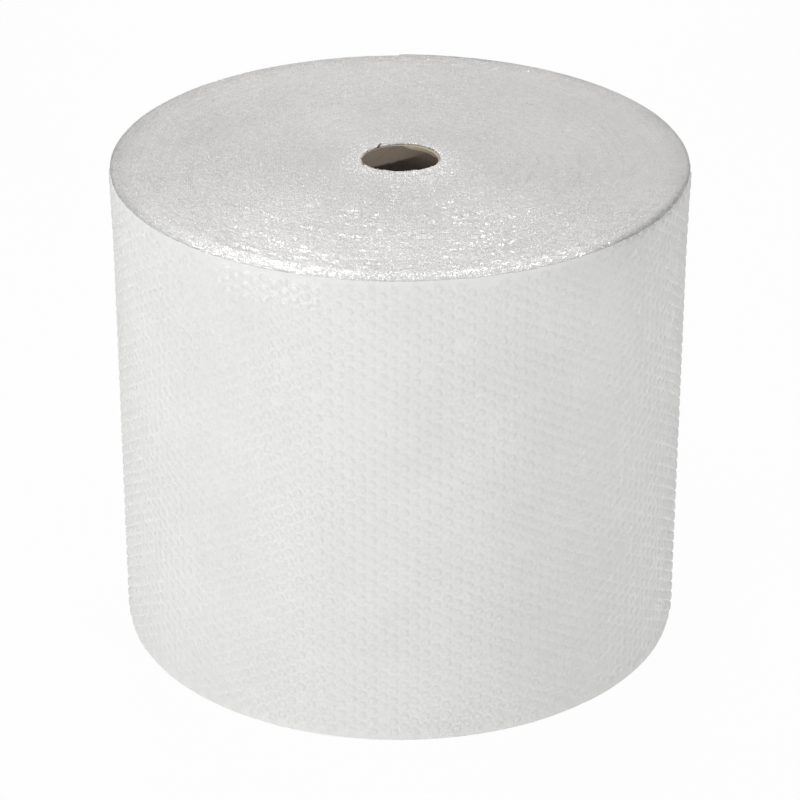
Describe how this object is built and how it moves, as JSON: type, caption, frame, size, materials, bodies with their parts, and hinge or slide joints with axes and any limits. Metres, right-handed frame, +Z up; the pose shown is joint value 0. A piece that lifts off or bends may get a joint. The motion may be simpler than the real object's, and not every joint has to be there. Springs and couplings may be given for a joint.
{
  "type": "roll of bubble cushioning film",
  "caption": "Wide roll of clear bubble cushioning film wound on a paperboard core tube, standing on its end.",
  "frame": {"origin": "centre of the core at the floor that the roll stands on", "axes": "+Z up along the core; -Y towards the front of the picture, +Y towards the film's tail edge"},
  "size_m": [0.5752, 0.577, 0.5],
  "materials": {
    "bubble_film": "milky layers of clear polyethylene film with glossy bubbles",
    "core_board": "plain brown paperboard, matt"
  },
  "bodies": {
    "root": {"film_roll": "bubble_film", "core_tube": "core_board"}
  },
  "joints": []
}
